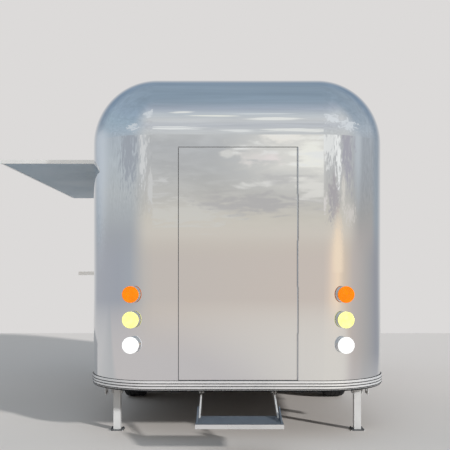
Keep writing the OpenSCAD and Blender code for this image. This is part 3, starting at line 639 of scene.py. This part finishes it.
def makeBolts(s):
    bm = bmesh.new()
    for end in ("rear", "front"):
        for side in ("left", "right"):
            low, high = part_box("leg_" + end + "_" + side)
            middle = Vector(((low.x + high.x) / 2, (low.y + high.y) / 2, groundZ + s["pivotZ"]))
            for way in (-1, 1):
                addBolt(bm, middle + sideX * way * s["pivotOut"], sideX * way, s["pivot"])
    newPiece("legPivotBolts", bm, "zincPlatedSteel", "trailer")
    bm = bmesh.new()
    for x, y in s["noseBolts"]:
        for sign in (-1, 1):
            addBolt(bm, Vector((sign * x, y, 0.0)), sideZ, s["pivot"])
    newPiece("noseBolts", bm, "zincPlatedSteel", "trailer")


makeBolts(boltSet)
print("feet and bolts made")

# Ribbed lenses in place of the plain discs, two of each colour
lensSet = {"radius": 0.056, "ribs": 6, "ribHigh": 0.0012, "steps": 72, "edge": 0.0015, "edgeRound": 0.3,
           "rimEdges": 4, "dipFrom": 0.35, "dipTo": 0.65, "middle": 0.002}


def makeLenses(colour, s):
    low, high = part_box(colour + "_lenses")
    thick = high.y - low.y
    flat = thick - s["ribHigh"]
    radius, edge = s["radius"], s["edge"]
    profile = [(radius, 0.0), (radius, thick - 2 * edge), (radius - s["edgeRound"] * edge, thick - edge),
               (radius - edge, thick - s["edgeRound"] * edge), (radius - 2 * edge, thick)]
    ribbed = radius - s["rimEdges"] * edge
    pitch = ribbed / s["ribs"]
    for k in range(s["ribs"]):
        outer = ribbed - k * pitch
        profile += [(outer, thick), (outer - s["dipFrom"] * pitch, flat), (outer - s["dipTo"] * pitch, flat)]
    profile.append((s["middle"], thick))
    bm = bmesh.new()
    for x in (low.x + radius, high.x - radius):
        addLathe(bm, profile, s["steps"], facing((x, high.y, (low.z + high.z) / 2), -sideY))
    newPiece(colour + "Lenses", bm, colour + "Acrylic", "trailer", [colour + "_lenses"])


for colourName in ("orange", "yellow", "white"):
    makeLenses(colourName, lensSet)

# Moulded grip on the jack's crank, waisted between its ribs
gripSet = {"crankRadius": 0.007, "sleeve": 0.0125, "waist": 0.0105, "foot": 0.012, "crankGrip": 0.090,
           "over": 0.002, "bevel": 0.002, "crown": 0.003, "steps": 32, "ribs": 7, "ribsFrom": 0.05,
           "ribbed": 0.9,
           "wave": [("sleeve", 0.1), ("waist", 0.35), ("waist", 0.65), ("sleeve", 0.9)]}


def makeCrankGrip(s):
    low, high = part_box("jack_tube")
    base = Vector((high.x - s["crankRadius"], (low.y + high.y) / 2, high.z - s["crankGrip"] + s["foot"]))
    length = s["crankGrip"] - s["foot"] + s["over"]
    step = s["ribbed"] * length / s["ribs"]
    profile = [(s["waist"] - s["bevel"], 0.0), (s["sleeve"], s["bevel"])]
    for k in range(s["ribs"]):
        start = length * (s["ribsFrom"] + s["ribbed"] * k / s["ribs"])
        profile += [(s[part], start + share * step) for part, share in s["wave"]]
    profile += [(s["sleeve"], length - s["crown"]), (s["sleeve"] - s["crown"], length)]
    bm = bmesh.new()
    addLathe(bm, profile, s["steps"], facing(base, sideZ))
    newPiece("crankGrip", bm, "mouldedAbs", "trailer")


makeCrankGrip(gripSet)
print("lenses and grip made")

# Camera as in the photograph: level, behind the trailer, with a rising front
cameraSet = {"lens": 56.0, "sensor": 36.0, "rise": 0.103, "left": -0.088, "behind": 4.70, "height": 1.14}
cameraData = bpy.data.cameras.new("rearCamera")
cameraData.lens = cameraSet["lens"]
cameraData.sensor_width = cameraSet["sensor"]
cameraData.shift_y = cameraSet["rise"]
cameraObject = bpy.data.objects.new("rearCamera", cameraData)
cameraObject.location = (cameraSet["left"], rearY - cameraSet["behind"], groundZ + cameraSet["height"])
cameraObject.rotation_euler = (math.radians(90), 0, 0)
bpy.context.scene.collection.objects.link(cameraObject)
bpy.context.scene.camera = cameraObject

# Warm glow low on the right, behind the camera: seen in the sky, and painted along the floor as a pool of
# warm light
paintedGlowSet = {"azimuth": 25.0, "floorInner": 5.0, "floorOuter": 40.0, "paintedGlowColour": "fff2e2", "floorShare": 0.9}

# Colours along the horizon by azimuth in degrees, which floor and sky share, so that no edge shows between
# them, and the plain pale field ahead of the camera
horizonSet = {"stops": [(-180, "a5acb2"), (-120, "afb1b7"), (-70, "abaeb5"), (-46, "aeb2b8"), (-20, "cbc5be"),
                        (12, "d8cbc0"), (24, "f4dec8"), (33, "ffe6ca"), (44, "e2d0bc"), (62, "c9bfb8"),
                        (94, "b4b1af"), (120, "a1a2a8"), (180, "a5acb2")],
              "mergeFrom": 0.3, "mergeTo": 4.5, "pale": "dcdad9", "paleFrom": 0.74, "paleTo": 0.88,
              "mirrorFrom": 0.62, "mirrorTo": 0.99}
smooth = {"interpolation_type": "SMOOTHSTEP"}  # for a Map Range that eases in and out


def seenShare(tree, path):
    # all of what the eye sees, straight or in metal and glass, and none of what only lights a surface
    seen = addNode(tree, "Math", {
        0: path.outputs["Is Camera Ray"], 1: path.outputs["Is Glossy Ray"]}, operation="MAXIMUM")
    return addNode(tree, "Math", {0: seen, 1: path.outputs["Is Transmission Ray"]}, operation="MAXIMUM")


def paleShare(tree, onward, path, s):
    # how much of the pale field ahead shows in a direction, with a softer edge in what the mirror skin shows
    direct = path.outputs["Is Camera Ray"]
    start = addNode(tree, "MapRange", {"Value": direct, "To Min": s["mirrorFrom"], "To Max": s["paleFrom"]})
    stop = addNode(tree, "MapRange", {"Value": direct, "To Min": s["mirrorTo"], "To Max": s["paleTo"]})
    return addNode(tree, "MapRange", {"Value": onward, "From Min": start, "From Max": stop}, **smooth)


def azimuth(tree, axes):
    # angle of a direction about the vertical: none straight behind the trailer, more to the right
    astern = addNode(tree, "Math", {0: axes.outputs["Y"], 1: -1.0}, operation="MULTIPLY")
    return addNode(tree, "Math", {0: axes.outputs["X"], 1: astern}, operation="ARCTAN2")


def horizonColour(tree, turn, s):
    # the horizon's colour at an azimuth
    turn = addNode(tree, "MapRange", {"Value": turn, "From Min": -math.pi, "From Max": math.pi})
    return fillRamp(addNode(tree, "ValToRGB", {"Fac": turn}),
                    [((degrees + 180) / 360, colour) for degrees, colour in s["stops"]])


# Floor: a wide matt sheet, grey round the trailer, paler and warmer behind it, and a plain pale field beyond
# its front, in the wedge that the camera sees
floorSet = {"half": 600.0, "grey": "e3dbd4", "front": "d6d0ca", "frontTo": 2.2, "paleFrom": 3.0,
            "blend": 0.02, "mirrorBlend": 14.0,
            "wedgeInner": 21.0, "wedgeOuter": 27.0, "near": "e3d7cf", "nearFrom": 0.3, "nearTo": 0.9,
            "warm": "fadfc2", "warmFrom": 4.0, "warmTo": 30.0, "rough": 0.9, "fadeFrom": 3.0, "fadeTo": 26.0,
            "sideFrom": 45, "sideTo": 72, "sideGain": 3.0}


def nearTone(tree, spot, axes, close, s, glow):
    # colours of the sheet itself
    astern = addNode(tree, "MapRange", {
        "Value": axes.outputs["Y"], "From Min": rearY - s["warmFrom"], "From Max": rearY - s["warmTo"]})
    tone = addNode(tree, "Mix", {0: astern, 6: linear(s["near"]), 7: linear(s["warm"])}, data_type="RGBA")
    # painted light: the glow's warm track runs out over the floor from the right rear corner
    turn = math.radians(glow["azimuth"])
    away = addNode(tree, "VectorMath", {
        0: spot, 1: (halfWide - edgeRadius, rearY, groundZ)}, operation="SUBTRACT")
    away = addNode(tree, "VectorMath", {0: away}, operation="NORMALIZE")
    near = addNode(tree, "VectorMath", {
        0: away, 1: (math.sin(turn), -math.cos(turn), 0)}, operation="DOT_PRODUCT")
    paintedGlowTrack = addNode(tree, "MapRange", {
        "Value": near, "From Min": math.cos(math.radians(glow["floorOuter"])),
        "From Max": math.cos(math.radians(glow["floorInner"])), "To Max": glow["floorShare"]}, **smooth)
    tone = addNode(tree, "Mix", {0: paintedGlowTrack, 6: tone, 7: linear(glow["paintedGlowColour"])}, data_type="RGBA")
    # the grey deepens a little from the axle back to the step
    depth = addNode(tree, "MapRange", {
        "Value": axes.outputs["Y"], "From Min": rearY, "From Max": rearY + s["frontTo"]})
    grey = addNode(tree, "Mix", {0: depth, 6: linear(s["front"]), 7: linear(s["grey"])}, data_type="RGBA")
    return addNode(tree, "Mix", {0: close, 6: grey, 7: tone}, data_type="RGBA")


def farField(tree, spot, axes, close, path, s, horizon):
    # how far the sheet has given way to the plain surround at a spot, and the surround's colour there
    edge = addNode(tree, "MapRange", {
        "Value": path.outputs["Is Camera Ray"], "To Min": s["paleFrom"] + s["mirrorBlend"],
        "To Max": s["paleFrom"] + s["blend"]})
    ahead = addNode(tree, "MapRange", {
        "Value": axes.outputs["Y"], "From Min": s["paleFrom"], "From Max": edge})
    eye = (cameraSet["left"], rearY - cameraSet["behind"], groundZ)
    sight = addNode(tree, "VectorMath", {0: spot, 1: eye}, operation="SUBTRACT")
    sight = addNode(tree, "VectorMath", {0: sight}, operation="NORMALIZE")
    sight = addNode(tree, "SeparateXYZ", {0: sight})
    wedge = addNode(tree, "MapRange", {
        "Value": sight.outputs["Y"], "From Min": math.cos(math.radians(s["wedgeOuter"])),
        "From Max": math.cos(math.radians(s["wedgeInner"]))}, **smooth)
    ahead = addNode(tree, "Math", {0: ahead, 1: wedge}, operation="MULTIPLY")
    # outside the ground in view, the colours of the horizon take over far off
    out = addNode(tree, "VectorMath", {0: spot, 1: (0, rearY, groundZ)}, operation="SUBTRACT")
    length = addNode(tree, "VectorMath", {0: out}, operation="LENGTH")
    out = addNode(tree, "SeparateXYZ", {0: out})
    turn = azimuth(tree, out)
    onward = addNode(tree, "Math", {0: out.outputs["Y"], 1: length}, operation="DIVIDE")
    onward = paleShare(tree, onward, path, horizon)
    pale = addNode(tree, "Math", {0: ahead, 1: onward}, operation="MAXIMUM")
    colour = addNode(tree, "Mix", {
        0: pale, 6: horizonColour(tree, turn, horizon), 7: linear(horizon["pale"])}, data_type="RGBA")
    # on the right they start nearer
    beside = addNode(tree, "MapRange", {
        "Value": turn, "From Min": math.radians(s["sideFrom"]), "From Max": math.radians(s["sideTo"]),
        "To Min": 1.0, "To Max": 1.0 + s["sideGain"]}, **smooth)
    length = addNode(tree, "Math", {0: length, 1: beside}, operation="MULTIPLY")
    fade = addNode(tree, "MapRange", {
        "Value": length, "From Min": s["fadeFrom"], "From Max": s["fadeTo"]}, **smooth)
    unseen = addNode(tree, "Math", {0: 1.0, 1: wedge}, operation="SUBTRACT")
    unseen = addNode(tree, "Math", {0: unseen, 1: close}, operation="MAXIMUM")
    fade = addNode(tree, "Math", {0: fade, 1: unseen}, operation="MULTIPLY")
    share = addNode(tree, "Math", {0: ahead, 1: fade}, operation="MAXIMUM")
    return share, colour


def makeFloor(s, glow, horizon):
    material, tree, shader = newMaterial("mattFloor")[:3]
    spot = addNode(tree, "NewGeometry").outputs["Position"]
    axes = addNode(tree, "SeparateXYZ", {0: spot})
    path = addNode(tree, "LightPath")
    close = addNode(tree, "MapRange", {
        "Value": axes.outputs["Y"], "From Min": rearY - s["nearFrom"], "From Max": rearY - s["nearTo"]})
    wire(tree, shader, {
        "Base Color": nearTone(tree, spot, axes, close, s, glow), "Roughness": s["rough"],
        "Specular IOR Level": 0.0})
    # the eye and the mirror skin see the plain surround where it takes over
    share, colour = farField(tree, spot, axes, close, path, s, horizon)
    share = addNode(tree, "Math", {0: seenShare(tree, path), 1: share}, operation="MULTIPLY")
    field = addNode(tree, "Emission", {"Color": colour, "Strength": 1.0})
    both = addNode(tree, "MixShader", {0: share, 1: shader, 2: field})
    output = next(node for node in tree.nodes if node.type == "OUTPUT_MATERIAL")
    wire(tree, output, {"Surface": both})
    mesh = bpy.data.meshes.new("floorSheet")
    half = s["half"]
    corners = [(x * half, y * half, groundZ) for x, y in ((-1, -1), (1, -1), (1, 1), (-1, 1))]
    mesh.from_pydata(corners, [], [(0, 1, 2, 3)])
    mesh.materials.append(material)
    sheet = bpy.data.objects.new("floorSheet", mesh)
    bpy.context.scene.collection.objects.link(sheet)


makeFloor(floorSet, paintedGlowSet, horizonSet)

# Key light: one soft lamp far off to the right, low and a little behind the camera
keySet = {"toward": (-1.95, 1.75, -1.0), "strength": 3.0, "softDegrees": 3.5}
# Fill light: a broad faint lamp from the upper left, which opens the shadows
fillSet = {"toward": (0.6, 0.3, -0.75), "strength": 0.5, "softDegrees": 110.0}


def makeLamp(name, s):
    lampData = bpy.data.lights.new(name, "SUN")
    lampData.energy = s["strength"]
    lampData.angle = math.radians(s["softDegrees"])
    lampObject = bpy.data.objects.new(name, lampData)
    lampObject.rotation_euler = Vector(s["toward"]).to_track_quat("-Z", "Y").to_euler()
    lampObject.visible_glossy = False
    bpy.context.scene.collection.objects.link(lampObject)


makeLamp("keyLight", keySet)
makeLamp("fillLight", fillSet)

# Surround: a soft overcast dome, cloudy behind the camera, with a plain pale field ahead of it.
# Colours run by the sine of the height. Banks are clouds: kind of edge, azimuth and height, half width and
# half height, all in degrees, then colour and share. Edges say where a cloud ends, where it is full, and
# how much it frays.
skySet = {
    "behind": [(0.0, "d2c6ba"), (0.03, "d8d0c2"), (0.052, "ded7cb"), (0.075, "d8d2c6"), (0.1, "cbc8c1"),
               (0.143, "c3c3c1"), (0.175, "c1c2c2"), (0.21, "d0d1cf"), (0.3, "d0d2d2"), (0.45, "c8cbcf"),
               (0.6, "d3d5d5"), (0.73, "c8ced2"), (0.85, "afb8c4"), (0.95, "99a9b7"), (1.0, "91a2b1")],
    "left": [(0.0, "acaeb2"), (0.05, "afb2b5"), (0.085, "b8bcbe"), (0.11, "bfc3c4"), (0.155, "bec5c9"),
             (0.19, "b6bec5"), (0.3, "adbbc6"), (0.5, "a5b7c4"), (0.7, "9daebe"), (1.0, "91a2b1")],
    "right": [(0.0, "b8b3ae"), (0.04, "b8b2ae"), (0.08, "afaeac"), (0.12, "abaeb1"), (0.19, "afb5bb"),
              (0.3, "b6bfc7"), (0.5, "a5b1bc"), (1.0, "91a2b1")],
    "ahead": [(0.0, "a5acb2"), (0.6, "8497ab"), (1.0, "91a2b1")],
    "leftFrom": -12, "leftTo": -48, "rightFrom": 46, "rightTo": 80, "aheadFrom": 0.25, "aheadTo": 0.6,
    "lightShare": 0.86, "deckLift": 0.1, "deckScale": 4.5,
    "deckNoise": {"Scale": 1.0, "Detail": 9.0, "Roughness": 0.62, "Distortion": 0.5},
    "rag": 2.6, "mottle": 0.5, "mottleFrom": 0.05, "mottleTo": 0.11,
    "edges": {"crisp": (1.2, 0.45, 1.0), "soft": (1.5, 0.2, 0.3)},
    "banks": [
        ("soft", (-118, 11), (24, 8), "d2d9e0", 0.7),
        ("soft", (72, 11), (9, 5), "ced4d8", 0.7),
        ("soft", (7.5, 9.6), (6.0, 3.2), "f2efe6", 0.85),
        ("crisp", (-48, 9.6), (17, 2.5), "a7acb3", 0.9),
        ("crisp", (-22, 9.5), (6, 2.4), "e4e4e2", 0.85),
        ("crisp", (-10, 6.6), (5, 1.5), "dfdedb", 0.75),
        ("crisp", (-3.2, 4.7), (3.6, 1.1), "dcd9d1", 0.8),
        ("crisp", (2.8, 5.6), (4.2, 0.8), "bfbcba", 0.85),
        ("crisp", (5.2, 7.6), (2.4, 0.5), "c6c4c2", 0.7),
        ("crisp", (4.8, 10.9), (1.7, 0.7), "fffaf0", 0.8),
        ("crisp", (7.0, 9.6), (1.6, 1.4), "fffdf2", 0.9),
        ("crisp", (7.4, 6.7), (1.8, 0.8), "f0ede5", 0.8),
        ("crisp", (3.4, 9.1), (1.8, 0.4), "f6ece8", 0.85),
        ("crisp", (2.3, 9.3), (1.2, 0.6), "e6e2dc", 0.7),
        ("crisp", (2.3, 7.1), (1.2, 0.4), "eeece6", 0.8),
        ("crisp", (0.2, 9.5), (0.6, 0.4), "e6e4de", 0.8),
        ("crisp", (20, 10.4), (13, 2.0), "f6f6f2", 0.9),
        ("crisp", (50, 9.8), (12, 3.0), "b2b0b8", 0.9),
        ("crisp", (26, 6.0), (10, 1.9), "b6b1b3", 0.95),
        ("crisp", (12, 5.6), (3, 0.9), "eae4df", 0.85),
        ("crisp", (34, 9.2), (5, 2.2), "fffffb", 0.95),
        ("crisp", (43, 6.4), (4, 1.6), "e4dfd6", 0.9),
        ("crisp", (56, 4.6), (10, 0.8), "e2dcd5", 0.8),
        ("crisp", (-5.2, 51), (1.8, 2.4), "f6f6f0", 0.9),
        ("crisp", (-1.2, 44), (2.8, 1.6), "fffef2", 0.8),
        ("crisp", (5.6, 39), (3.0, 2.6), "f8f8f2", 0.9),
        ("crisp", (3.0, 48), (4.5, 1.4), "e8ecec", 0.75),
        ("crisp", (-4.4, 22), (2.6, 3.0), "f4f5f2", 0.9),
        ("crisp", (1.2, 18.5), (1.7, 2.0), "f0f1ee", 0.85),
        ("crisp", (6.2, 19), (3.0, 2.6), "f6f6f0", 0.9),
        ("crisp", (28, 38), (14, 8), "eef2f4", 0.75),
        ("crisp", (56, 27), (18, 8), "ecf0f2", 0.75),
        ("crisp", (-18, 48), (9, 7), "e8ecee", 0.7),
        ("crisp", (-42, 23), (12, 5), "e4e8ea", 0.7),
        ("soft", (33, 1.4), (9, 2.9), "ffe9ce", 1.0),
    ],
}


def domeTone(tree, axes, turn, lift, height, s, horizon):
    # the sky's colours by height, a run for each side, merged into the horizon's colours
    ramps = {key: fillRamp(addNode(tree, "ValToRGB", {"Fac": lift}), s[key])
             for key in ("behind", "left", "right", "ahead")}
    tone = ramps["behind"]
    for key, value, start, stop in (
            ("left", turn, math.radians(s["leftFrom"]), math.radians(s["leftTo"])),
            ("right", turn, math.radians(s["rightFrom"]), math.radians(s["rightTo"])),
            ("ahead", axes.outputs["Y"], s["aheadFrom"], s["aheadTo"])):
        share = addNode(tree, "MapRange", {"Value": value, "From Min": start, "From Max": stop}, **smooth)
        tone = addNode(tree, "Mix", {0: share, 6: tone, 7: ramps[key]}, data_type="RGBA")
    merge = addNode(tree, "MapRange", {
        "Value": height, "From Min": math.radians(horizon["mergeTo"]),
        "From Max": math.radians(horizon["mergeFrom"])}, **smooth)
    return addNode(tree, "Mix", {
        0: merge, 6: tone, 7: horizonColour(tree, turn, horizon)}, data_type="RGBA")


def cloudDeck(tree, axes, lift, s):
    # noise of a flat deck of cloud seen in perspective: finer toward the horizon
    deck = addNode(tree, "Math", {0: lift, 1: s["deckLift"]}, operation="ADD")
    deck = addNode(tree, "Math", {0: s["deckScale"], 1: deck}, operation="DIVIDE")
    spread = addNode(tree, "CombineXYZ", {"X": axes.outputs["X"], "Y": axes.outputs["Y"]})
    spread = addNode(tree, "VectorMath", {0: spread, "Scale": deck}, operation="SCALE")
    return addNode(tree, "TexNoise", {"Vector": spread, **s["deckNoise"]})


def layBanks(tree, tone, turn, height, deck, s):
    # the banks, one over another, with edges that the deck's noise frays
    rag = addNode(tree, "Math", {0: deck, 1: 2 * s["rag"], 2: -s["rag"]}, operation="MULTIPLY_ADD")
    for edge, (aside, rise), (wide, tall), colour, cover in s["banks"]:
        across = addNode(tree, "Math", {
            0: turn, 1: 1 / math.radians(wide), 2: -aside / wide}, operation="MULTIPLY_ADD")
        upward = addNode(tree, "Math", {
            0: height, 1: 1 / math.radians(tall), 2: -rise / tall}, operation="MULTIPLY_ADD")
        apart = addNode(tree, "CombineXYZ", {"X": across, "Y": upward})
        reach = addNode(tree, "VectorMath", {0: apart}, operation="LENGTH")
        end, full, fray = s["edges"][edge]
        frayed = addNode(tree, "Math", {0: rag, 1: fray, 2: reach}, operation="MULTIPLY_ADD")
        share = addNode(tree, "MapRange", {
            "Value": frayed, "From Min": end, "From Max": full, "To Max": cover}, **smooth)
        tone = addNode(tree, "Mix", {0: share, 6: tone, 7: linear(colour)}, data_type="RGBA")
    return tone


def makeSky(s, horizon):
    world = bpy.data.worlds.new("overcastDome")
    bpy.context.scene.world = world
    world.use_nodes = True
    tree = world.node_tree
    tree.nodes.clear()
    axes = addNode(tree, "SeparateXYZ", {0: addNode(tree, "TexCoord").outputs["Generated"]})
    lift = addNode(tree, "Math", {0: axes.outputs["Z"], 1: 0.0}, operation="MAXIMUM")
    height = addNode(tree, "Math", {0: axes.outputs["Z"]}, operation="ARCSINE")
    turn = azimuth(tree, axes)
    tone = domeTone(tree, axes, turn, lift, height, s, horizon)
    # light and dark in the deck itself, none at the horizon
    deck = cloudDeck(tree, axes, lift, s)
    amount = addNode(tree, "MapRange", {
        "Value": lift, "From Min": s["mottleFrom"], "From Max": s["mottleTo"], "To Max": s["mottle"]},
        **smooth)
    gain = addNode(tree, "Math", {0: deck, 1: 0.5}, operation="SUBTRACT")
    gain = addNode(tree, "Math", {0: gain, 1: amount, 2: 1.0}, operation="MULTIPLY_ADD")
    tone = addNode(tree, "VectorMath", {0: tone, "Scale": gain}, operation="SCALE")
    tone = layBanks(tree, tone, turn, height, deck, s)
    path = addNode(tree, "LightPath")
    ahead = paleShare(tree, axes.outputs["Y"], path, horizon)
    dome = addNode(tree, "Mix", {0: ahead, 6: tone, 7: linear(horizon["pale"])}, data_type="RGBA")
    # the sky that is seen has full strength, and its light on matt surfaces a little less
    strength = addNode(tree, "MapRange", {
        "Value": seenShare(tree, path), "To Min": s["lightShare"], "To Max": 1.0})
    shell = addNode(tree, "Background", {"Color": dome, "Strength": strength})
    addNode(tree, "OutputWorld", {"Surface": shell})


makeSky(skySet, horizonSet)
bpy.context.scene.view_settings.view_transform = "Standard"
print("stage, light and camera set")
